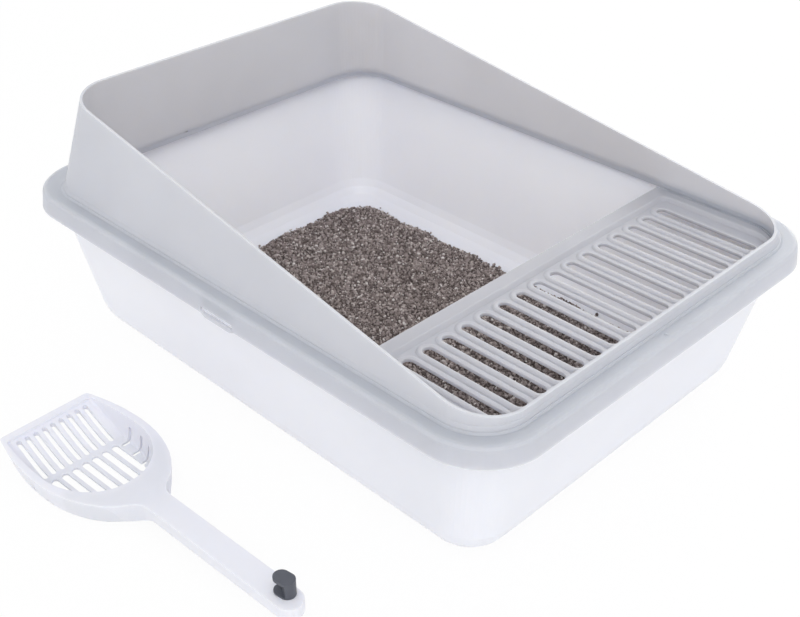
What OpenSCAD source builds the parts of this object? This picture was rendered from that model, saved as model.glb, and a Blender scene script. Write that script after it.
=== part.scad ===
// Open litter pan with a lift-off high-back shield, a slotted entry grate,
// a bed of litter and a slotted scoop with a hanging hook.
// Millimetres. Z up, floor at z = 0, high back towards +Y, entry towards -Y.

/* [Overall] */
// Length over the flange, front to back
tray_length = 500; // [380:1:640]
// Width over the flange
tray_width = 378; // [290:1:480]
// Height of the flange's top above the floor
flange_z = 130; // [90:1:180]
// Height of the shield at the back
back_z = 208; // [160:1:280]
// Height of the shield at the entry
front_z = 138; // [134:1:150]
// Wall thickness of the moulded shells
wall = 2; // [1.5:0.1:3]
// Gap where one piece rests on or passes another
rest_gap = 0.3; // [0.1:0.05:0.5]

/* [Skirt and flange] */
// Height of the outer skirt
skirt_height = 15; // [10:0.5:22]
// Plan corner radius of the skirt
skirt_corner = 48; // [35:1:60]
// Inward draft over the skirt
skirt_draft = 1.5; // [0.5:0.1:3]
// Rounding between skirt and flange
edge_radius = 4; // [2:0.5:6]

/* [Shield] */
// Shield foot inside the skirt at the sides and front
foot_inset = 15; // [11:0.5:22]
// Shield foot inside the skirt at the back
back_inset = 21; // [14:0.5:30]
// Plan corner radius of the shield
shield_corner = 35; // [24:0.5:42]
// Inward lean of the shield, mm per mm of height
shield_lean = 0.215; // [0.1:0.005:0.3]
// Fillet where the shield stands on the flange
foot_fillet = 4; // [2:0.5:6]
// Depth of the locating lip below the flange's top
lip_depth = 4; // [3:0.5:8]
// Pit of the mould mark on the front flange
mark_d = 3; // [2:0.5:5]

/* [Pan] */
// Pan wall inside the skirt, at the skirt's lower edge
pan_inset = 13.5; // [10:0.5:20]
// Foot length of the pan
foot_length = 426; // [320:1:540]
// Foot width of the pan
foot_width = 311; // [230:1:400]
// Plan corner radius of the pan at its foot
foot_corner = 31; // [28:1:45]
// Plan corner radius of the pan at its rim
rim_corner = 39; // [32:1:55]
// Rounding between pan wall and floor
floor_radius = 25; // [15:1:27]

/* [Catches] */
// Length of the window in each long skirt
window_length = 34.4; // [20:0.5:45]
// Height of that window
window_height = 3.9; // [1.2:0.1:5]
// Window's lower edge above the skirt's lower edge
window_rise = 0.8; // [0.5:0.1:6]
// Window's middle, forwards of the tray's middle
window_shift = 3.4; // [0:0.1:30]
// How far the bar under the window hangs down
bar_drop = 2.6; // [1:0.1:5]

/* [Entry grate] */
// Front to back size of the grate
grate_depth = 116.5; // [90:0.5:140]
// Thickness of the grate's outer band
grate_thick = 3.6; // [3:0.1:5]
// Gap between the grate and the shield at the sides
grate_side_gap = 2.2; // [1.5:0.1:4]
// Gap between the grate and the shield at the front
grate_front_gap = 1.9; // [1:0.1:3]
// Flat band beside the recessed panel
band_side = 8; // [8:0.5:18]
// Flat band behind the recessed panel
band_rear = 10.9; // [8:0.1:16]
// Depth of the recess
recess = 2.3; // [1:0.1:2.6]
// Run of the slope down into the recess
recess_run = 3.6; // [0.5:0.1:5]
// Number of slots
slot_count = 16; // [10:1:17]
// Spacing of the slots
slot_pitch = 18.7; // [16:0.1:20]
// Width of a slot
slot_width = 8.8; // [5:0.1:10]
// Rear end of the slots from the grate's rear edge
slot_rear = 21.2; // [18:0.1:35]
// Front end of the slots from the grate's front edge
slot_front = 10; // [8:0.5:20]
// Width of the raised rim round a slot
bead_width = 4.6; // [3:0.1:4.8]
// Height of that rim over the panel
bead_height = 1.4; // [0.8:0.1:2]
// Ledge that carries the grate's edge
ledge_width = 6; // [4:0.5:9]
// Length of the snap lug on each side edge
lug_length = 12; // [6:1:20]
// Reach of the snap lug
lug_reach = 0.5; // [0.3:0.1:1]

/* [Litter] */
// Depth of the litter on the pan's floor
litter_depth = 6; // [3:0.5:12]
// Litter's edge back from the pan's curved wall
litter_back = 4; // [0.5:0.5:10]
// Height of the low hills in the litter's top
litter_hills = 0.8; // [0:0.1:1.5]

/* [Scoop] */
// Whole length of the scoop
scoop_length = 274; // [240:1:320]
// Widest part of the bowl
bowl_width = 92.4; // [82:0.1:105]
// Width at the tip
tip_width = 74.4; // [60:0.1:80]
// Rounding of the tip's corners
tip_round = 3; // [1:0.5:6]
// Tip to the widest part
bowl_front = 57; // [50:1:70]
// Widest part to the collar's back
bowl_back = 72; // [62:1:80]
// Height of the bowl's rim over the floor
bowl_depth = 21.5; // [16:0.5:28]
// Length of the ramp from the tip down to the bowl's floor
ramp_length = 46; // [38:1:54]
// How far the bowl's outside draws in from rim to floor
bowl_draft = 7.6; // [5:0.1:9]
// Flat collar outside the hollow's edge at the bowl's sides
collar_width = 5.4; // [3.5:0.1:7]
// Hollow's length behind the widest part
hollow_back = 50; // [42:1:58]
// How far the hollow draws in from rim to floor
hollow_draft = 4.6; // [3:0.1:7]
// Depth of the tip's flat lip
tip_lip = 4; // [2:0.5:6]
// Thickness of the scoop's shell
scoop_wall = 1.8; // [1.4:0.1:2.6]
// Width of the handle
handle_width = 19; // [16:0.2:26]
// Depth of the handle's channel
handle_depth = 9.1; // [7:0.1:13]
// Slots in the front row
front_slots = 9; // [7:2:11]
// Width of a front slot
front_slot_w = 3.85; // [2.5:0.05:4.6]
// Spacing of the front slots
front_pitch = 7.1; // [5.6:0.05:7.4]
// Slots in the rear row
rear_slots = 7; // [5:2:7]
// Width of a rear slot
rear_slot_w = 5.8; // [4:0.1:6.6]
// Spacing of the rear slots
rear_pitch = 8.6; // [7.4:0.1:9]
// Width of a corner slot
corner_slot_w = 3.4; // [2:0.1:4.5]
// Scoop tip's middle, sideways from the tray's middle
scoop_x = -273.4; // [-340:0.1:-250]
// Scoop tip's middle, back from the tray's middle
scoop_y = 101.8; // [0:0.1:200]
// Turn of the scoop
scoop_turn = 1.9; // [-10:0.1:10]

/* [Hook] */
// Long size of the hook's oval
hook_long = 15.5; // [12:0.1:18]
// Short size of the hook's oval
hook_short = 11; // [9:0.1:15]
// Thickness of the hook's foot
hook_foot = 1.2; // [1:0.1:3]
// Thickness of the hook's upper disc
hook_disc = 2; // [1.5:0.1:4]
// Top of the hook above the handle
hook_height = 12.6; // [10:0.1:20]
// Middle of the hook from the handle's end
hook_back = 15.5; // [12:0.1:24]
// Middle of the hook off the handle's middle
hook_side = 2; // [-3:0.5:3]
// Turn of the hook's oval
hook_turn = -83; // [-100:1:-70]

/* [Hidden] */
$fn = 64;
eps = 0.01;
skirt_z = flange_z - skirt_height;
half_l = tray_length / 2;
half_w = tray_width / 2;
// shield foot rectangle at the flange's top
foot_front = -half_l + foot_inset;
foot_back = half_l - back_inset;
foot_half = half_w - foot_inset;
shield_len = foot_back - foot_front;
shield_mid = (foot_back + foot_front) / 2;
back_top_y = foot_back - shield_lean * (back_z - flange_z);
front_top_y = foot_front + shield_lean * (front_z - flange_z);
rim_slope = (back_z - front_z) / (back_top_y - front_top_y);
lip_z = flange_z - lip_depth;
// pan
rim_top = flange_z - wall - rest_gap;
pan_top_half_w = half_w - pan_inset;
pan_top_half_l = half_l - pan_inset;
lip_edge = skirt_draft + wall + rest_gap;
// grate
grate_top = lip_z + 0.5;
grate_bottom = grate_top - grate_thick;
ledge_top = grate_bottom - rest_gap;
grate_half = foot_half - wall - grate_side_gap;
grate_front = foot_front + wall + grate_front_gap;
grate_rear = grate_front + grate_depth;
web_out = 1.5;
web_in = 3.2;
slot_y0 = grate_front + slot_front;
slot_y1 = grate_rear - slot_rear;
panel_z = grate_top - recess;
// window
window_z = skirt_z + window_rise;
window_y = -window_shift;
// scoop
scoop_tip = 2;
scoop_mid = scoop_tip - bowl_front;
handle_end = scoop_tip - scoop_length;
handle_r = handle_width / 2;
cavity_half = bowl_width / 2 - collar_width;
floor_half = cavity_half - hollow_draft;
floor_z = -bowl_depth + scoop_wall;
far = 2 * scoop_length;
bar_y = -ramp_length + 5;
hook_y = handle_end + hook_back;
neck_y = scoop_mid - bowl_back - 11;

// Piece to draw

// rectangle with rounded corners, centred
module rounded(w, l, r) {
    square([w - 2 * r, l], center = true);
    square([w, l - 2 * r], center = true);
    for (x = [-1, 1], y = [-1, 1])
        translate([x * (w / 2 - r), y * (l / 2 - r)]) circle(r = r);
}

// thin level slice of a shell
module slice(z, w, l, r, yc = 0) {
    translate([0, yc, z]) linear_extrude(eps) rounded(w, l, r);
}

// ---- pan ----
function pan_half_w(z) = foot_width / 2 + (pan_top_half_w - foot_width / 2) * z / skirt_z;
function pan_half_l(z) = foot_length / 2 + (pan_top_half_l - foot_length / 2) * z / skirt_z;
function pan_r(z) = foot_corner + (rim_corner - foot_corner) * z / skirt_z;

// solid pan form, in by t, with its floor at z0 and its top at z1
module pan_form(t, z0, z1) {
    r = floor_radius - t;
    hull() {
        for (a = [0, 18, 36, 54, 72, 90]) {
            z = z0 + r * (1 - cos(a));
            i = t + r * (1 - sin(a));
            slice(z, 2 * (pan_half_w(z) - i), 2 * (pan_half_l(z) - i), max(pan_r(z) - i, 3));
        }
        slice(z1, 2 * (pan_half_w(z1) - t), 2 * (pan_half_l(z1) - t), pan_r(z1) - t);
    }
}

module pan() color("white") {
    difference() {
        union() {
            pan_form(0, 0, rim_top - wall);
            translate([0, 0, rim_top - wall])
                linear_extrude(wall)
                    rounded(tray_width - 2 * lip_edge - 2, tray_length - 2 * lip_edge - 2, skirt_corner - lip_edge - 1);
            catches();
        }
        pan_form(wall, wall, flange_z + 5);
    }
}

// inner face of the skirt, in from the tray's side, at height z
function skirt_in(z) = wall + skirt_draft * (z - skirt_z + 1) / (skirt_height - edge_radius + 1);

// tooth behind each skirt window, hanging from the pan's rim
module catches() {
    z0 = window_z + 0.1;
    z1 = rim_top - wall + 0.1;
    x0 = half_w - skirt_in(z0) - rest_gap;
    x1 = half_w - skirt_in(z1) - rest_gap;
    for (s = [-1, 1]) scale([s, 1, 1])
        translate([0, window_y + window_length / 2 - 1, 0]) rotate([90, 0, 0])
            linear_extrude(window_length - 2)
                polygon([[x0 - 2, z0], [x0, z0], [x1, z1], [x1 - 3, z1]]);
}

// ---- frame ----
module skirt_outer() {
    hull() {
        slice(skirt_z, tray_width, tray_length, skirt_corner);
        for (a = [0, 30, 60, 90]) {
            i = skirt_draft + edge_radius * (1 - cos(a));
            slice(flange_z - edge_radius * (1 - sin(a)) - eps, tray_width - 2 * i, tray_length - 2 * i, skirt_corner - i);
        }
    }
}

module skirt_inner() {
    r = edge_radius - wall;
    hull() {
        slice(skirt_z - 1, tray_width - 2 * wall, tray_length - 2 * wall, skirt_corner - wall);
        for (a = [0, 45, 90]) {
            i = skirt_draft + wall + r * (1 - cos(a));
            slice(flange_z - edge_radius + r * sin(a), tray_width - 2 * i, tray_length - 2 * i, skirt_corner - i);
        }
    }
}

// plan of the shield's foot, in by t
module foot_plan(t) {
    translate([0, shield_mid]) rounded(2 * (foot_half - t), shield_len - 2 * t, shield_corner - t);
}

// solid form of the shield: upright below the flange's top, leaning above it
module shield_form(t, z0, z1) {
    hull() {
        for (z = [z0, flange_z, z1]) {
            i = t + shield_lean * max(z - flange_z, 0);
            slice(z, 2 * (foot_half - i), shield_len - 2 * i, shield_corner - t, shield_mid);
        }
    }
}

// fillet step round the shield's foot
module foot_ring(z0, g0, z1, g1) {
    hull() {
        slice(z0, 2 * (foot_half + g0), shield_len + 2 * g0, shield_corner + g0, shield_mid);
        slice(z1, 2 * (foot_half + g1), shield_len + 2 * g1, shield_corner + g1, shield_mid);
    }
}

// the slope that the shield's top edge lies in
module above_rim() {
    translate([0, back_top_y, back_z]) rotate([atan(rim_slope), 0, 0])
        translate([-tray_width, -2 * tray_length, 0]) cube([2 * tray_width, 3 * tray_length, 2 * back_z]);
}

// where the ledge for the grate runs
module entry_zone() {
    translate([-half_w, -half_l, ledge_top - 2 * wall]) cube([tray_width, grate_rear + half_l - 2, 4 * wall + lip_depth]);
}

module bars() {
    out = half_w - 0.2;
    for (s = [-1, 1])
        translate([s > 0 ? out - wall : -out, 0, 0])
            rotate([90, 0, 90]) linear_extrude(wall)
                polygon([[window_y - window_length / 2 - 5.5, skirt_z + 1],
                         [window_y - window_length / 2 + 3, skirt_z - bar_drop],
                         [window_y + window_length / 2 - 4.9, skirt_z - bar_drop],
                         [window_y + window_length / 2 + 1.6, skirt_z + 1]]);
}

module shield_frame() color("lightgrey") {
    difference() {
        union() {
            difference() {
                union() {
                    difference() { skirt_outer(); skirt_inner(); }
                    shield_form(0, lip_z, back_z + 2);
                    foot_ring(flange_z - 1, foot_fillet, flange_z + foot_fillet * 0.28, foot_fillet * 0.32);
                    foot_ring(flange_z - 1, foot_fillet * 0.42, flange_z + foot_fillet, -shield_lean * foot_fillet + 0.05);
                }
                shield_form(wall, lip_z - 2, back_z + 3);
                above_rim();
            }
            bars();
            ledge();
        }
        for (s = [-1, 1])
            translate([s * half_w, window_y, window_z + window_height / 2])
                cube([4 * wall, window_length, window_height], center = true);
        translate([-5, -half_l + foot_inset / 2 + 1, flange_z - 0.5]) cylinder(h = 2, d = mark_d);
        translate([-38, foot_back - wall, flange_z + 0.6]) cube([3, 3, 1.6], center = true);
    }
}

// ledge under the grate's sides and front, hung from the lip
module ledge() {
    intersection() {
        union() {
            translate([0, 0, ledge_top - wall]) linear_extrude(lip_z + 0.4 - ledge_top + wall)
                difference() { foot_plan(web_out); foot_plan(web_in); }
            translate([0, 0, ledge_top - wall]) linear_extrude(wall)
                difference() { foot_plan(web_out); foot_plan(wall + grate_side_gap + ledge_width); }
        }
        entry_zone();
    }
}

// ---- entry grate ----
module grate_plan(t) {
    intersection() {
        translate([0, shield_mid]) rounded(2 * (grate_half - t), shield_len - 2 * (wall + grate_front_gap + t), shield_corner - wall - grate_front_gap - t);
        translate([-half_w, grate_front]) square([tray_width, grate_depth]);
    }
}

module slot_plan() {
    translate([0, slot_y1 - slot_width / 2]) circle(d = slot_width);
    translate([0, slot_y0 + slot_width / 2]) circle(d = slot_width);
    translate([-slot_width / 2, slot_y0 + slot_width / 2]) square([slot_width, slot_y1 - slot_y0 - slot_width]);
}

// plan of the recess: it follows the front corners and is squarer behind
module panel_plan(t) {
    w = 2 * (grate_half - band_side - t);
    intersection() {
        translate([0, shield_mid]) rounded(w, shield_len - 2 * (wall + grate_front_gap + 2.5 + 0.6 * t), 20 - t);
        translate([0, grate_rear - band_rear - t - half_l / 2]) rounded(w, half_l, 8 - t);
    }
}

// section of the rim beside a slot, from the slot's edge outwards
function rim_section(s) = [for (p = [[0, -0.2], [0, 0.7], [0.07, 0.92], [0.2, 1], [0.46, 1], [0.64, 0.86], [0.83, 0.5], [0.93, 0.17], [1, 0], [1, -0.2]])
    [s * (slot_width / 2 + p[0] * bead_width), p[1] * bead_height]];

module slot_rim() {
    y0 = slot_y0 + slot_width / 2;
    y1 = slot_y1 - slot_width / 2;
    for (s = [-1, 1]) translate([0, y1, panel_z]) rotate([90, 0, 0]) linear_extrude(y1 - y0) polygon(rim_section(s));
    translate([0, y1, panel_z]) rotate_extrude(angle = 180) polygon(rim_section(1));
    translate([0, y0, panel_z]) rotate([0, 0, 180]) rotate_extrude(angle = 180) polygon(rim_section(1));
}

module entry_grate() color("silver") {
    difference() {
        union() {
            difference() {
                translate([0, 0, grate_bottom]) linear_extrude(grate_thick) grate_plan(0);
                hull() {
                    translate([0, 0, panel_z]) linear_extrude(eps) panel_plan(recess_run);
                    translate([0, 0, grate_top]) linear_extrude(1) panel_plan(0);
                }
            }
            for (i = [0 : slot_count - 1]) translate([(i - (slot_count - 1) / 2) * slot_pitch, 0, 0]) slot_rim();
            for (s = [-1, 1])
                translate([s * (grate_half - 1), (grate_front + grate_rear) / 2 - 11, grate_top - 1.2])
                    rotate([90, 0, 0]) cylinder(r = 1 + lug_reach, h = lug_length, center = true);
        }
        for (i = [0 : slot_count - 1])
            translate([(i - (slot_count - 1) / 2) * slot_pitch, 0, grate_bottom - 1])
                linear_extrude(grate_thick + 3) slot_plan();
    }
}

// ---- litter ----
// level of the litter's top, with hills some 30 mm apart
function litter_top(x, y) = wall + litter_depth
    + litter_hills * sin(360 * x / 62 + 45 * sin(360 * y / 95)) * cos(360 * y / 58 + 40 * sin(360 * x / 110));

module litter_hill_form() {
    n = 14;
    m = 20;
    dx = 2 * pan_half_w(0) / n;
    dy = 2 * pan_half_l(0) / m;
    top = [for (j = [0 : m], i = [0 : n]) let (x = (i - n / 2) * dx, y = (j - m / 2) * dy) [x, y, litter_top(x, y)]];
    low = [for (p = top) [p[0], p[1], 0]];
    q = (n + 1) * (m + 1);
    k = function (i, j) j * (n + 1) + i;
    sides = concat([for (i = [0 : n - 1]) [k(i, 0), k(i + 1, 0), q + k(i + 1, 0), q + k(i, 0)]],
                   [for (i = [0 : n - 1]) [k(i + 1, m), k(i, m), q + k(i, m), q + k(i + 1, m)]],
                   [for (j = [0 : m - 1]) [k(0, j + 1), k(0, j), q + k(0, j), q + k(0, j + 1)]],
                   [for (j = [0 : m - 1]) [k(n, j), k(n, j + 1), q + k(n, j + 1), q + k(n, j)]]);
    tops = [for (j = [0 : m - 1], i = [0 : n - 1]) each [[k(i, j), k(i, j + 1), k(i + 1, j + 1)], [k(i, j), k(i + 1, j + 1), k(i + 1, j)]]];
    lows = [for (j = [0 : m - 1], i = [0 : n - 1]) [q + k(i, j), q + k(i + 1, j), q + k(i + 1, j + 1), q + k(i, j + 1)]];
    polyhedron(concat(top, low), concat(tops, lows, sides));
}

module litter_bed() color("dimgray") {
    r = floor_radius - wall;
    intersection() {
        hull() {
            slice(wall, 2 * (pan_half_w(wall) - wall - r), 2 * (pan_half_l(wall) - wall - r), 8);
            for (h = [0.4, 1, 1.3]) {
                i = wall + litter_back + r - sqrt(r * r - pow(r - litter_depth * h, 2));
                slice(wall + litter_depth * h - eps, 2 * (pan_half_w(0) - i), 2 * (pan_half_l(0) - i), 16);
            }
        }
        litter_hill_form();
    }
}

// ---- scoop ----
// half width of a bowl outline at y: tapering to the tip, rounded to the back
function bowl_x(y, half, tip, mid, front, back, n) = y > mid
    ? half - (half - tip) * pow((y - mid) / front, 2)
    : half * pow(max(1 - pow((mid - y) / back, n), 0), 1 / n);

// plan of a bowl slice from y0 back to the rounded end
module bowl_plan(y0, half, tip, mid, front, back, n) {
    steps = 12;
    ys = [for (k = [0 : steps]) y0 + (mid - y0) * k / steps];
    yb = [for (k = [1 : steps]) mid - back * sin(90 * k / steps)];
    right = [for (y = concat(ys, yb)) [bowl_x(y, half, tip, mid, front, back, n), y]];
    polygon(concat(right, [for (k = [len(right) - 2 : -1 : 0]) [-right[k][0], right[k][1]]]));
}

module bowl_slice(z, y0, half, tip, mid, front, back, n) {
    translate([0, 0, z]) linear_extrude(eps) offset(r = tip_round, $fn = 12) offset(delta = -tip_round)
        bowl_plan(y0, half, tip, mid, front, back, n);
}

// outside of the bowl, in by t; each slice is [depth share, front share, draft share]
module bowl_outer(t, zt) {
    hull() {
        bowl_slice(zt - eps, scoop_tip, bowl_width / 2 - t, tip_width / 2 - t, scoop_mid, bowl_front, bowl_back - t, 2);
        for (k = [[0.12, -0.04, 0.1], [0.57, 0.41, 0.37], [0.83, 0.67, 0.58], [0.925, 0.87, 0.79], [1, 1, 1]])
            bowl_slice(-bowl_depth * k[0], -ramp_length * k[1], bowl_width / 2 - t - bowl_draft * k[2],
                       tip_width / 2 - t - bowl_draft * min(k[2], 0.25), scoop_mid, bowl_front, bowl_back - t - 1.3 * bowl_draft * k[2], 2);
    }
}

// hollow of the bowl, grown by g for its shell
module bowl_cavity(g, zt) {
    c = cavity_half + g;
    e = tip_width / 2 - 0.45 * collar_width + g;
    m = scoop_mid + 1;
    hull() {
        bowl_slice(zt, -tip_lip + g, c, e, m, bowl_front, hollow_back + g, 2.1);
        for (k = [[0.08, tip_lip / ramp_length + 0.02, 0.04, 0.01], [0.48, 0.4, 0.35, 0.08], [0.76, 0.65, 0.57, 0.136], [0.93, 0.85, 0.74, 0.18], [1, 1, 1, 0.22]])
            bowl_slice(floor_z * k[0] - g, -ramp_length * k[1] + (k[0] < 0.1 ? g : 0), c - hollow_draft * k[2], e - 0.15 * hollow_draft, m,
                       bowl_front, hollow_back * (1 - k[3]) + g, 2.1);
    }
}

// plan of shoulder and handle
module handle_plan(t) {
    fillet = 0.75 * handle_width;
    offset(delta = -t) offset(r = -fillet) offset(delta = fillet) {
        intersection() {
            bowl_plan(scoop_tip, bowl_width / 2, tip_width / 2, scoop_mid, bowl_front, bowl_back, 2);
            translate([-far, scoop_mid - bowl_back - 5]) square([2 * far, 0.72 * bowl_back]);
        }
        translate([-handle_r, handle_end + handle_r]) square([handle_width, scoop_length - bowl_front - 0.9 * bowl_back]);
        translate([0, handle_end + handle_r]) circle(r = handle_r);
    }
}

// shoulder and handle: the bowl's rounded back is drawn out to the start of the handle's channel, in by t
module stem_form(t) {
    intersection() {
        translate([0, 0, -2 * bowl_depth]) linear_extrude(2 * bowl_depth - t) handle_plan(t);
        union() {
            hull() {
                bowl_outer(t, -t);
                translate([t - handle_r, neck_y, -handle_depth - t]) cube([handle_width - 2 * t, eps, handle_depth]);
            }
            translate([-far, neck_y + eps - far, -handle_depth - t]) cube([2 * far, far, far]);
        }
    }
}

// upright slot through the scoop, from y0 back to y1
module scoop_slot(x, w, y0, y1, z0, z1) {
    translate([x, 0, z0]) linear_extrude(z1 - z0) {
        translate([0, y0 - w / 2]) circle(d = w, $fn = 20);
        translate([0, y1 + w / 2]) circle(d = w, $fn = 20);
        translate([-w / 2, y1 + w / 2]) square([w, y0 - y1 - w]);
    }
}

// rear end of a rear slot, on a curve inside the floor's edge
function rear_end(x) = scoop_mid - 0.69 * hollow_back * pow(max(1 - pow(abs(x) / floor_half, 2.4), 0), 1 / 2.4);

// slot that starts in the floor and climbs the wall
module corner_slot(x, y) {
    w = corner_slot_w;
    leg = 1.25 * w;
    climb = 0.48 * bowl_depth;
    translate([x, y, 0]) {
        translate([-leg, -w / 2, -bowl_depth - 1]) cube([leg + w / 2, w, w + 2]);
        translate([-leg, 0, -bowl_depth - 1]) cylinder(d = w, h = w + 2, $fn = 20);
        translate([-w / 3, -w / 2, floor_z]) cube([2.4 * w, w, climb]);
        translate([-w / 3, 0, floor_z + climb]) rotate([0, 90, 0]) cylinder(d = w, h = 2.4 * w, $fn = 20);
    }
}

module scoop_body() {
    difference() {
        union() {
            bowl_outer(0, 0);
            stem_form(0);
        }
        // hollow under the shoulder and the handle, behind the bowl
        difference() {
            stem_form(scoop_wall);
            bowl_cavity(scoop_wall, 2);
        }
        bowl_cavity(0, 3);
        for (i = [0 : front_slots - 1])
            scoop_slot((i - (front_slots - 1) / 2) * front_pitch, front_slot_w, -tip_lip - 2.6, bar_y + 1.6, -2 * bowl_depth, bowl_depth);
        for (i = [0 : rear_slots - 1])
            let (x = (i - (rear_slots - 1) / 2) * rear_pitch)
                scoop_slot(x, rear_slot_w, bar_y - 2.4, rear_end(x), -bowl_depth - 2, floor_z + 3);
        for (s = [-1, 1]) scale([s, 1, 1]) {
            corner_slot(floor_half + 0.4, scoop_mid + 0.13 * bowl_front);
            corner_slot(floor_half - 1.2, scoop_mid - 0.12 * bowl_front);
            corner_slot(floor_half - 5, scoop_mid - 0.35 * bowl_front);
        }
    }
}

module place_scoop() {
    translate([scoop_x, scoop_y, bowl_depth]) rotate([0, 0, scoop_turn]) children();
}

module scoop() color("white") place_scoop() scoop_body();

// ---- hook ----
module hook_oval() {
    translate([(hook_long - hook_short) / 2, 0]) circle(d = hook_short);
    translate([-(hook_long - hook_short) / 2, 0]) circle(d = hook_short);
    square([hook_long - hook_short, hook_short], center = true);
}

module scoop_hook() color("dimgray") place_scoop()
    translate([hook_side, hook_y, 0]) rotate([0, 0, hook_turn]) {
        linear_extrude(hook_foot) hook_oval();
        translate([0, 0, hook_height - hook_disc]) linear_extrude(hook_disc) hook_oval();
        // post on the side away from the bowl, its flat face open to the pan's rim
        linear_extrude(hook_height) intersection() {
            hook_oval();
            rotate([0, 0, 55]) translate([-1.5, -hook_long]) square([hook_long, 2 * hook_long]);
        }
    }

pan();
shield_frame();
entry_grate();
litter_bed();
scoop();
scoop_hook();
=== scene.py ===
# %% [markdown]
# # Litter tray with a lift-off shield, an entry grate and a scoop
# The tray stands on a pale studio floor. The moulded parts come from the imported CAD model, and this
# lesson gives them their finishes, fills the pan with loose granules and sets the lamps and the
# camera. Sizes are written in millimetres, and MM turns them into Blender's metres.

# %% Load the fixed model
import math

import bmesh
import bpy
import numpy as np
from mathutils import Matrix, Vector


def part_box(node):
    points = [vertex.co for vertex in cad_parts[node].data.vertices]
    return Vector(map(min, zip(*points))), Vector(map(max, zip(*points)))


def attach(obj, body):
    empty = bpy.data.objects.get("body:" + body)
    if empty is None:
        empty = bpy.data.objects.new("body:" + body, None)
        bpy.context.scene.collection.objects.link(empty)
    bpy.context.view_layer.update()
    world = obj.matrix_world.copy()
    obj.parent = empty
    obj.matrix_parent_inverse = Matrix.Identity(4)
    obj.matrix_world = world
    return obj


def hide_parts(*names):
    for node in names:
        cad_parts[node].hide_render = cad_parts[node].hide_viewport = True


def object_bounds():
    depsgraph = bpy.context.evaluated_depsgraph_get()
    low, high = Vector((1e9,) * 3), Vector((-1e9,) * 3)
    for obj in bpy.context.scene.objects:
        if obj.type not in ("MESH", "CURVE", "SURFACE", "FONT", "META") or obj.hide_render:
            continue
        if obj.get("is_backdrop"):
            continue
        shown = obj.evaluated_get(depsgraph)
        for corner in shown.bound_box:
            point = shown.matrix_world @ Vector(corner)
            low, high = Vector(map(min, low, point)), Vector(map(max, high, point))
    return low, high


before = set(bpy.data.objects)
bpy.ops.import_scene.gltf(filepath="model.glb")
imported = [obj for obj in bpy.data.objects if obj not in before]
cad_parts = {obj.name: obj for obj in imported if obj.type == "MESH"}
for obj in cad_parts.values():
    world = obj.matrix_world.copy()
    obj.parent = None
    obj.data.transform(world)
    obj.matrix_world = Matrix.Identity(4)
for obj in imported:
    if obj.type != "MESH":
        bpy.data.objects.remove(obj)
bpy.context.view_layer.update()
MM = 0.001
print("nodes:", sorted(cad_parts))

# %% [markdown]
# ## Camera
# The tray is seen from its front left corner, a third of a right angle above the floor, from about
# a metre away. The lens is given as a focal length in pixels of an 800 pixel wide frame, and turned
# into millimetres on Blender's 36 mm sensor. The camera is turned by its own axes: its right side,
# and the way from what it sees back to it.

# %% Camera
FRAME_WIDTH = 800
FOCAL_PIXELS = 1213.25
SENSOR = 36
SHIFT_X = 0.0025
NEAREST, FARTHEST = 0.05, 20  # metres
CAMERA_SPOT = Vector((-589.307, -574.827, 578.193))

camera_data = bpy.data.cameras.new("studio_camera")
camera = bpy.data.objects.new("studio_camera", camera_data)
bpy.context.scene.collection.objects.link(camera)
camera_data.sensor_width = SENSOR
camera_data.lens = FOCAL_PIXELS * SENSOR / FRAME_WIDTH
camera_data.shift_x = SHIFT_X
camera_data.clip_start = NEAREST
camera_data.clip_end = FARTHEST

right = Vector((0.70409806, -0.71010103, 0.00156458))
back = Vector((-0.59362992, -0.5873996, 0.5500593))
up = back.cross(right)
turn = Matrix((right, up, back)).transposed().to_4x4()
camera.matrix_world = Matrix.Translation(CAMERA_SPOT * MM) @ turn
bpy.context.scene.camera = camera
print("lens in mm:", round(camera_data.lens, 2))

# %% [markdown]
# ## Helpers for finishes
# Every finish is a small network of shader nodes. One function adds a node with its settings and
# links, and another turns an sRGB hex colour, as a paint chart gives it, into the linear values that
# the renderer works with. A Mix node has several sockets with the same name, one for each kind of
# value, so its colour sockets are called by their places.

# %% Node and colour helpers
MIX_SHARE, MIX_FIRST, MIX_SECOND, MIX_RESULT = 0, 6, 7, 2


def linear(hex_colour):
    """sRGB hex text, such as "C8CAD0", as linear red, green, blue and alpha."""
    values = [int(hex_colour[i:i + 2], 16) / 255 for i in (0, 2, 4)]
    return [v / 12.92 if v <= 0.04045 else ((v + 0.055) / 1.055) ** 2.4 for v in values] + [1]


def add(tree, kind, links=None, **settings):
    """Adds a shader node. A link's value is a number, a colour or another node's output."""
    node = tree.nodes.new("ShaderNode" + kind)
    for key, value in settings.items():
        setattr(node, key, value)
    for socket, value in (links or {}).items():
        if isinstance(value, bpy.types.NodeSocket):
            tree.links.new(value, node.inputs[socket])
        else:
            node.inputs[socket].default_value = value
    return node


def new_material(name):
    """An empty material with its node tree and output."""
    material = bpy.data.materials.new(name)
    material.use_nodes = True
    tree = material.node_tree
    tree.nodes.clear()
    return material, tree, tree.nodes.new("ShaderNodeOutputMaterial")


def dress(piece, material):
    """Gives the whole piece one material."""
    piece.data.materials.clear()
    piece.data.materials.append(material)
    print(piece.name, "gets", material.name)


print("half white, 808080, is", round(linear("808080")[0], 3), "of the light of white")

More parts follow.
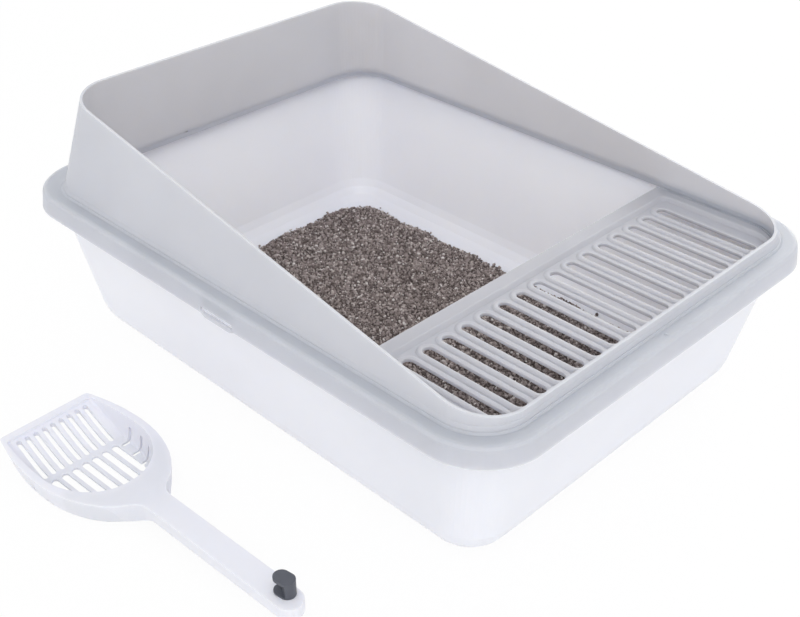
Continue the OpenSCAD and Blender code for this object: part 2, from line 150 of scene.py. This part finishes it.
# %% [markdown]
# ## Moulded polypropylene
# The pan, the shield and the scoop are injection moulded polypropylene. The steel mould is finished
# with a fine spark texture, so the skin is satin, not glossy, and under a lens it has soft pits about
# half a millimetre across. The melt flows into the mould from one gate, which leaves broad, very weak
# clouds in the colour. A wall of 2 mm isn't opaque: light from outside comes through it as a soft
# glow, so that the inside of the thin shield is hardly darker than its outside. The shader's
# subsurface scattering does that, and it needs a depth of a few millimetres here. Red light gets
# deepest and blue light is thrown back soonest, so the inside is also a little warmer than the
# outside. One function makes the finish, because the parts differ only in pigment, in how satin they
# are and in how far light gets into them.

# %% Polypropylene
PIT = 0.6  # width of the skin's pits, drawn at about their real size
PIT_DEPTH = 0.2
PIT_STRENGTH = 0.05
SATIN_SPREAD = 0.05  # how much the roughness differs from pit to pit
CLOUD = 90  # width of the colour's clouds
DEPTH_BY_COLOUR = (1, 0.91, 0.8)  # how deep red, green and blue light get, as shares of red's depth


def polypropylene(name, hex_colour, hex_cloud, roughness, milky, depth):
    """Satin moulded polypropylene. Milky is the share of the light that gets to depth, in mm."""
    material, tree, output = new_material(name)
    place = add(tree, "TexCoord").outputs["Object"]
    cloud = add(tree, "TexNoise", {"Vector": place, "Scale": 1 / (CLOUD * MM), "Detail": 2})
    grain = add(tree, "TexNoise", {"Vector": place, "Scale": 1 / (PIT * MM), "Detail": 1})
    soft = add(tree, "MapRange", {"Value": cloud.outputs["Fac"],
                                  "From Min": 0.35, "From Max": 0.65})
    colour = add(tree, "Mix", {MIX_SHARE: soft.outputs["Result"], MIX_FIRST: linear(hex_colour),
                               MIX_SECOND: linear(hex_cloud)}, data_type="RGBA")
    satin = add(tree, "MapRange", {"Value": grain.outputs["Fac"],
                                   "To Min": roughness - SATIN_SPREAD,
                                   "To Max": roughness + SATIN_SPREAD})
    relief = add(tree, "Bump", {"Height": grain.outputs["Fac"], "Strength": PIT_STRENGTH,
                                "Distance": PIT_DEPTH * MM})
    shader = add(tree, "BsdfPrincipled", {"Base Color": colour.outputs[MIX_RESULT],
                                          "Roughness": satin.outputs["Result"], "IOR": 1.49,
                                          "Subsurface Weight": milky,
                                          "Subsurface Radius": DEPTH_BY_COLOUR,
                                          "Subsurface Scale": depth * MM,
                                          "Normal": relief.outputs["Normal"]})
    tree.links.new(shader.outputs["BSDF"], output.inputs["Surface"])
    return material


white_pan = polypropylene("polypropylene_white_pan", "F3F4FF", "F0F1FC", 0.4, 0.6, 6)
grey_shield = polypropylene("polypropylene_grey_shield", "BEC1C9", "BABDC5", 0.42, 0.95, 9)
grey_grate = polypropylene("polypropylene_grey_grate", "B7B8BF", "B3B4BB", 0.4, 1.0, 10)
white_scoop = polypropylene("polypropylene_white_scoop", "E6E7EF", "E2E3EB", 0.32, 0.6, 5)
dark_hook = polypropylene("polypropylene_dark_hook", "52555E", "4C4F58", 0.5, 0.2, 1)

for node_name, material in (("pan", white_pan), ("shield_frame", grey_shield),
                            ("entry_grate", grey_grate), ("scoop", white_scoop),
                            ("scoop_hook", dark_hook)):
    dress(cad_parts[node_name], material)

# %% [markdown]
# ## Litter
# Clumping litter is crushed bentonite clay, sieved to grains of 1 to 4 mm. It lies in the pan with a
# slightly hilly top, as in the CAD solid that it replaces. It thins out where the pan's floor curves
# up into the walls, it is lowest along the right side and in the back right corner, and a little of
# it is heaped up in the back left corner. Everything that is laid on the floor later asks the
# functions below how high the floor and the litter's top are there.

# %% The pan's floor and the litter's top
bed_low, bed_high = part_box("litter_bed")
FLOOR_Z = 2.0
CURVE = 23.0  # radius from the floor up into the walls
FLAT_X, FLAT_Y = 130.8, 188.5  # half sides of the floor's flat middle
FLAT_CORNER = 8.0  # radius of its corners
HILLS = 0.8  # height of the hills over the mean top
HILL_STEP_X, HILL_STEP_Y = 62, 58
BEND_STEP_X, BEND_STEP_Y = 110, 95  # the rows of hills wind to and fro over these lengths
BEND_X, BEND_Y = math.radians(45), math.radians(40)
EDGE_DROP, RIGHT_DROP, FRONT_DROP, CORNER_DROP, HEAP = 2.0, 1.7, 1.4, 4.0, 3.0
MEAN_TOP = bed_high[2] / MM - HILLS


def off_flat(x, y):
    """How far a point lies outside the flat middle of the pan's floor."""
    dx = np.maximum(np.abs(x) - (FLAT_X - FLAT_CORNER), 0)
    dy = np.maximum(np.abs(y) - (FLAT_Y - FLAT_CORNER), 0)
    return np.maximum(np.hypot(dx, dy) - FLAT_CORNER, 0)


def floor_z(x, y):
    """Height of the pan's floor, which curves up towards the walls."""
    return FLOOR_Z + CURVE - np.sqrt(np.maximum(CURVE ** 2 - off_flat(x, y) ** 2, 1))


def rise(value, start, width):
    """0 up to the start, and from there up to 1 over the width."""
    return np.clip((value - start) / width, 0, 1)


def litter_z(x, y):
    """Height of the litter's top: its hills, its low edges and the heap in the back left corner."""
    full_turn = 2 * math.pi
    across = np.sin(full_turn * x / HILL_STEP_X + BEND_X * np.sin(full_turn * y / BEND_STEP_Y))
    along = np.cos(full_turn * y / HILL_STEP_Y + BEND_Y * np.sin(full_turn * x / BEND_STEP_X))
    edge = rise(off_flat(x, y), start=4, width=10)
    right_edge = rise(x, start=118, width=22)
    right_drop = RIGHT_DROP + FRONT_DROP * rise(-y, start=40, width=80)
    right_corner = rise(x + y - FLAT_X - FLAT_Y, start=-22, width=34)
    heap = rise(y, start=120, width=70) * rise(-x, start=20, width=90)
    return (MEAN_TOP + HILLS * across * along - EDGE_DROP * edge ** 2 + HEAP * heap
            - np.maximum(right_drop * right_edge ** 2, CORNER_DROP * right_corner ** 2))


def litter_depth(x, y):
    """Height of the litter's top over the floor. It is below 0 where no litter lies."""
    return litter_z(x, y) - floor_z(x, y)


print("litter bed in mm:", [round(v / MM, 1) for v in (*bed_low, *bed_high)])
print("litter in the middle is", round(float(litter_depth(0, 0)), 1), "mm deep")

# %% [markdown]
# ## Sheet under the grains
# Real litter is grains all the way down, but only the top two or three layers are ever seen. A thin
# closed sheet of clay lies just under them and closes the gaps, so that no floor shines through.
# The sheet is darker than any grain, which is painted shade for the deep gaps between the grains.
# It starts as a flat grid. The squares where the litter is too thin are deleted, the rest is extruded
# down, and then each point of the upper skin is put under the litter's top and each point of the
# lower skin just over the pan's floor.

# %% Sheet under the grains
SHEET_STEP = 3
SHEET_X, SHEET_Y = 150, 208  # half sides
LEAST_LITTER = 1.2  # the sheet ends where the litter is thinner
BELOW_TOP = 1.3
OFF_FLOOR = 0.05
LEAST_SHEET = 0.1

bpy.ops.object.select_all(action="DESELECT")
bpy.ops.mesh.primitive_grid_add(x_subdivisions=2 * SHEET_X // SHEET_STEP,
                                y_subdivisions=2 * SHEET_Y // SHEET_STEP,
                                size=2 * MM, location=(0, 0, 0))
sheet = bpy.context.object
sheet.name = "litter_sheet"
for vertex in sheet.data.vertices:
    vertex.co.x *= SHEET_X
    vertex.co.y *= SHEET_Y
bpy.ops.object.mode_set(mode="EDIT")
bpy.ops.mesh.select_all(action="DESELECT")
mesh = bmesh.from_edit_mesh(sheet.data)
for vertex in mesh.verts:
    thin = litter_depth(vertex.co.x / MM, vertex.co.y / MM) < LEAST_LITTER
    vertex.select_set(bool(thin))
mesh.select_flush(True)
bmesh.update_edit_mesh(sheet.data)
bpy.ops.mesh.delete(type="VERT")
bpy.ops.mesh.select_all(action="SELECT")
bpy.ops.mesh.extrude_region_move(TRANSFORM_OT_translate={"value": (0, 0, -MM)})
mesh = bmesh.from_edit_mesh(sheet.data)
for vertex in mesh.verts:  # only the extruded skin, the lower one, is selected now
    x, y = vertex.co.x / MM, vertex.co.y / MM
    low = floor_z(x, y) + OFF_FLOOR
    high = max(litter_z(x, y) - BELOW_TOP, low + LEAST_SHEET)
    vertex.co.z = (low if vertex.select else high) * MM
bmesh.update_edit_mesh(sheet.data)
bpy.ops.mesh.select_all(action="SELECT")
bpy.ops.mesh.normals_make_consistent(inside=False)
bpy.ops.object.mode_set(mode="OBJECT")
bpy.ops.object.shade_smooth()
print("sheet:", len(sheet.data.polygons), "faces")

# %% [markdown]
# ## Grains
# Every grain that shows is a real shape. Crushed clay breaks into flat, lumpy crumbs with corners, so
# a ball of only 20 triangles is the right start: each of its points is pushed in or out, and the
# whole is flattened and stretched. Five such crumbs are enough, because each time one is laid it gets
# another turn and size, and nobody finds the same one twice.

# %% Five model grains
BALL = 0.55  # radius, so that a grain is about one unit across
LUMPS = (0.8, 1.15)
FLATTEN, STRETCH = 0.78, 1.12
MODEL_GRAINS = 5


def model_grain(seed):
    """A small ball made into a crumb of clay of unit size. Gives its points and triangles."""
    shape = np.random.default_rng(seed)
    bpy.ops.object.select_all(action="DESELECT")
    bpy.ops.mesh.primitive_ico_sphere_add(subdivisions=1, radius=BALL, location=(0, 0, 0))
    grain = bpy.context.object
    for vertex in grain.data.vertices:
        vertex.co *= shape.uniform(*LUMPS)
        vertex.co.z *= FLATTEN
        vertex.co.x *= STRETCH
    points = np.array([vertex.co for vertex in grain.data.vertices])
    faces = np.array([face.vertices for face in grain.data.polygons])
    bpy.data.objects.remove(grain, do_unlink=True)
    return points, faces


model_grains = [model_grain(seed) for seed in range(MODEL_GRAINS)]
print("a grain has", len(model_grains[0][1]), "triangles")

# %% [markdown]
# ## Laying the grains
# The crumbs are copied into one mesh, because tens of thousands of objects would be slow to handle.
# Their places are a grid of triangles, like oranges in a box, with each place pushed aside a little,
# so that the bed is evenly full without looking like a grid. At the edge of the bed chance decides,
# which frays it, and a few grains lie loose beside it. The bed is cut into four strips, so that
# each piece holds fewer than 200,000 triangles.

# %% Lay the grains
GRAIN_OFF_FLOOR = 0.03
rng = np.random.default_rng(7)  # the same chance at each run


def turns(count):
    """Random turns as matrices, from random unit quaternions."""
    q = rng.normal(size=(count, 4))
    w, x, y, z = (q / np.linalg.norm(q, axis=1)[:, None]).T
    rows = [[1 - 2 * (y * y + z * z), 2 * (x * y - z * w), 2 * (x * z + y * w)],
            [2 * (x * y + z * w), 1 - 2 * (x * x + z * z), 2 * (y * z - x * w)],
            [2 * (x * z - y * w), 2 * (y * z + x * w), 1 - 2 * (x * x + y * y)]]
    return np.array(rows).transpose(2, 0, 1)


def lay_grains(name, centres, sizes):
    """One mesh of many grains, each with its own tone from 0 to 1 kept on its faces."""
    spin = turns(len(centres))
    points, faces, tones, start = [], [], [], 0
    tone = rng.uniform(0, 1, len(centres))
    kind = rng.integers(0, len(model_grains), len(centres))
    for number, (model_points, model_faces) in enumerate(model_grains):
        mine = np.flatnonzero(kind == number)
        turned = np.einsum("gij,pj->gpi", spin[mine], model_points)
        placed = turned * sizes[mine, None, None] + centres[mine, None, :]
        lowest = floor_z(placed[..., 0], placed[..., 1]) + GRAIN_OFF_FLOOR
        placed[..., 2] = np.maximum(placed[..., 2], lowest)
        points.append(placed.reshape(-1, 3))
        offset = start + len(model_points) * np.arange(len(mine))
        faces.append((model_faces[None] + offset[:, None, None]).reshape(-1, 3))
        tones.append(np.repeat(tone[mine], len(model_faces)))
        start += len(mine) * len(model_points)
    data = bpy.data.meshes.new(name)
    data.from_pydata(np.concatenate(points) * MM, [], np.concatenate(faces).tolist())
    grain_tone = data.attributes.new("grain_tone", "FLOAT", "FACE")
    grain_tone.data.foreach_set("value", np.concatenate(tones))
    data.update()
    piece = bpy.data.objects.new(name, data)
    bpy.context.scene.collection.objects.link(piece)
    print(name, "has", len(centres), "grains,", len(data.polygons), "triangles")
    return piece


# %% Places, sizes and heights
GRAIN_STEP = 2.0  # from grain to grain
ASIDE = 0.75
BED_DEPTH, FRAY = 0.9, 1.4  # the least depth for a grain, and what chance may add to it
STRAY_DEPTH, STRAY_SHARE = -0.8, 0.07
USUAL_SIZE, SIZE_SPREAD = 1.95, 0.3
SIZE_LIMITS = (1.2, 3.8)
SINK = 0.9  # centres lie this far under the litter's top
UP_AND_DOWN = (-0.7, 0.75)
STRAY_LIFT = 0.35  # height of a loose grain's centre over the floor, as a share of its size
STRIPS = ("litter_grains_front", "litter_grains_mid_front",
          "litter_grains_mid_back", "litter_grains_back")

rows = np.arange(-SHEET_Y, SHEET_Y, GRAIN_STEP * math.sqrt(3) / 2)
columns = np.arange(-SHEET_X, SHEET_X, GRAIN_STEP)
grid_x, grid_y = np.meshgrid(columns, rows)
grid_x = grid_x + (np.arange(len(rows)) % 2)[:, None] * GRAIN_STEP / 2
spots = np.stack([grid_x.ravel(), grid_y.ravel()], axis=1)
spots += rng.uniform(-ASIDE, ASIDE, spots.shape)
depth = litter_depth(spots[:, 0], spots[:, 1])
in_bed = depth > BED_DEPTH + rng.uniform(0, FRAY, len(spots))
chance = rng.uniform(0, 1, len(spots))
stray = ~in_bed & (depth > STRAY_DEPTH) & (chance < STRAY_SHARE)
keep = in_bed | stray
spots, stray = spots[keep], stray[keep]
sizes = np.clip(rng.lognormal(math.log(USUAL_SIZE), SIZE_SPREAD, len(spots)), *SIZE_LIMITS)
heights = litter_z(spots[:, 0], spots[:, 1]) - SINK + rng.uniform(*UP_AND_DOWN, len(spots))
on_floor = floor_z(spots[:, 0], spots[:, 1]) + STRAY_LIFT * sizes
centres = np.column_stack([spots, np.where(stray, on_floor, heights)])
print("grains:", len(spots), "of which", int(stray.sum()), "lie loose beside the bed")

cuts = np.quantile(centres[:, 1], np.arange(1, len(STRIPS)) / len(STRIPS))
strip = np.searchsorted(cuts, centres[:, 1])
grain_beds = [lay_grains(name, centres[strip == number], sizes[strip == number])
              for number, name in enumerate(STRIPS)]

# %% [markdown]
# ## Clay finish
# Bentonite is a dull, warm grey clay. No two grains have the same tone, and a few are nearly white,
# so a colour ramp turns each grain's own number into its colour. Fine dust clings to the grains and
# makes them blotchy: a noise of about a millimetre darkens and roughens them.

# %% Clay
DUST = 0.9  # width of the dust's blotches
DUST_DEPTH = 0.25
DUST_SHADE = (0.74, 1.2)


def clay(name, hex_tones, spread):
    """Dry crushed clay: dull, with a tone for each grain and fine dust on it."""
    material, tree, output = new_material(name)
    place = add(tree, "TexCoord").outputs["Object"]
    tone = add(tree, "Attribute", attribute_name="grain_tone")
    ramp = add(tree, "ValToRGB", {"Fac": tone.outputs["Fac"]})
    while len(ramp.color_ramp.elements) < len(hex_tones):
        ramp.color_ramp.elements.new(0.5)
    for element, at, tint in zip(ramp.color_ramp.elements, spread, hex_tones):
        element.position = at
        element.color = linear(tint)
    dust = add(tree, "TexNoise", {"Vector": place, "Scale": 1 / (DUST * MM), "Detail": 3})
    shade = add(tree, "MapRange", {"Value": dust.outputs["Fac"],
                                   "From Min": 0.3, "From Max": 0.7,
                                   "To Min": DUST_SHADE[0], "To Max": DUST_SHADE[1]})
    colour = add(tree, "Mix", {MIX_SHARE: 1.0, MIX_FIRST: ramp.outputs["Color"],
                               MIX_SECOND: shade.outputs["Result"]},
                 data_type="RGBA", blend_type="MULTIPLY")
    relief = add(tree, "Bump", {"Height": dust.outputs["Fac"], "Strength": 0.5,
                                "Distance": DUST_DEPTH * MM})
    shader = add(tree, "BsdfPrincipled", {"Base Color": colour.outputs[MIX_RESULT],
                                          "Roughness": 0.95, "IOR": 1.5,
                                          "Specular IOR Level": 0.25,
                                          "Normal": relief.outputs["Normal"]})
    tree.links.new(shader.outputs["BSDF"], output.inputs["Surface"])
    return material


clay_grains = clay("crushed_bentonite_clay", ("655B58", "968A86", "B1A5A1", "CABFBA", "ECE6E3"),
                   (0.0, 0.36, 0.78, 0.93, 1.0))
# the sheet's single colour is darker than every grain: painted shade for the gaps between the grains
clay_sheet = clay("clay_sheet_painted_gap_shade", ("5A514E", "5A514E"), (0.0, 1.0))
for piece, finish in ((sheet, clay_sheet), *((bed, clay_grains) for bed in grain_beds)):
    dress(piece, finish)
    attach(piece, "pan")
    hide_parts("litter_bed")

# %% [markdown]
# ## Studio
# Product studios light white plastic from all round, so that it keeps its form without hard shadows.
# Most of the light here is the room's own, an even pale light from everywhere. One broad lamp stands
# above and behind the camera, two weak ones to the left and in front, and one beyond the tray, which
# shows through the shield's thin wall. The floor is a large sheet of paper that looks white to the
# camera and keeps a faint shadow, and the room behind it is white too: the camera, and every ray that
# is mirrored or bent on its way, sees a plain white, while the light on the tray stays as it is.

# %% Floor
WHITE = (1, 1, 1, 1)
FLOOR_SIDE = 12  # metres
FLOOR_WHITE = 0.94  # how much of the floor's look is plain white, where 0 keeps the whole shadow
FIBRES = 6

bpy.ops.object.select_all(action="DESELECT")
bpy.ops.mesh.primitive_plane_add(size=FLOOR_SIDE, location=(0, 0, 0))
floor = bpy.context.object
floor.name = "studio_floor"
floor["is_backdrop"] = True


def seen_or_mirrored(tree):
    """1 for what the camera sees, straight, mirrored or through glass. 0 for light on the tray."""
    path = add(tree, "LightPath")
    straight = add(tree, "Math", {0: path.outputs["Is Camera Ray"],
                                  1: path.outputs["Is Glossy Ray"]}, operation="MAXIMUM")
    return add(tree, "Math", {0: straight.outputs[0], 1: path.outputs["Is Transmission Ray"]},
               operation="MAXIMUM").outputs[0]


floor_paper, tree, output = new_material("matt_white_paper")
fibres = add(tree, "TexNoise", {"Vector": add(tree, "TexCoord").outputs["Object"],
                                "Scale": 1 / (FIBRES * MM)})
tint = add(tree, "Mix", {MIX_SHARE: fibres.outputs["Fac"], MIX_FIRST: linear("F8F8F8"),
                         MIX_SECOND: linear("F4F4F4")}, data_type="RGBA")
paper = add(tree, "BsdfDiffuse", {"Color": tint.outputs[MIX_RESULT]})
glow = add(tree, "Emission", {"Color": WHITE, "Strength": 1.0})
share = add(tree, "Math", {0: seen_or_mirrored(tree), 1: FLOOR_WHITE}, operation="MULTIPLY")
mixed = add(tree, "MixShader", {0: share.outputs[0], 1: paper.outputs[0], 2: glow.outputs[0]})
tree.links.new(mixed.outputs[0], output.inputs["Surface"])
dress(floor, floor_paper)

# %% World
ROOM_LIGHT = 0.88

world = bpy.data.worlds.new("studio_room")
bpy.context.scene.world = world
world.use_nodes = True
tree = world.node_tree
tree.nodes.clear()
room = add(tree, "Background", {"Color": WHITE, "Strength": ROOM_LIGHT})
view_white = add(tree, "Background", {"Color": WHITE, "Strength": 1.0})
mixed = add(tree, "MixShader", {0: seen_or_mirrored(tree), 1: room.outputs[0],
                                2: view_white.outputs[0]})
output = tree.nodes.new("ShaderNodeOutputWorld")
tree.links.new(mixed.outputs[0], output.inputs["Surface"])
print("the room's light is", ROOM_LIGHT, "of white")

# %% Lamps
TRAY_MIDDLE = Vector((0, 0, 0.08))  # metres, as the lamps' places and sides are


def soft_lamp(name, spot, side, watts):
    """A square area lamp that looks at the tray."""
    data = bpy.data.lights.new(name, "AREA")
    data.size = side
    data.energy = watts
    lamp = bpy.data.objects.new(name, data)
    bpy.context.scene.collection.objects.link(lamp)
    lamp.location = spot
    lamp.rotation_mode = "QUATERNION"
    lamp.rotation_quaternion = (Vector(spot) - TRAY_MIDDLE).to_track_quat("Z", "Y")
    print(name, "shines", watts, "W")


soft_lamp("key_lamp", (-1.4, -1.4, 2.0), 1.6, 16.5)
soft_lamp("left_lamp", (-2.6, -0.5, 0.7), 1.2, 2)
soft_lamp("front_lamp", (-0.5, -2.6, 1.2), 1.6, 3)
soft_lamp("back_lamp", (2.5, 0.7, 1.2), 1.6, 16)

# %% [markdown]
# ## View and sizes
# Blender's Standard view shows a colour as it is written, where other views would grey the whites.
# The last lines write down the box of everything visible.

# %% View settings
bpy.context.scene.view_settings.view_transform = "Standard"
print("view:", bpy.context.scene.view_settings.view_transform)

# %% Sizes and the end
low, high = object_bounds()
print("visual box in mm:", [round(v / MM, 1) for v in (*low, *high)])
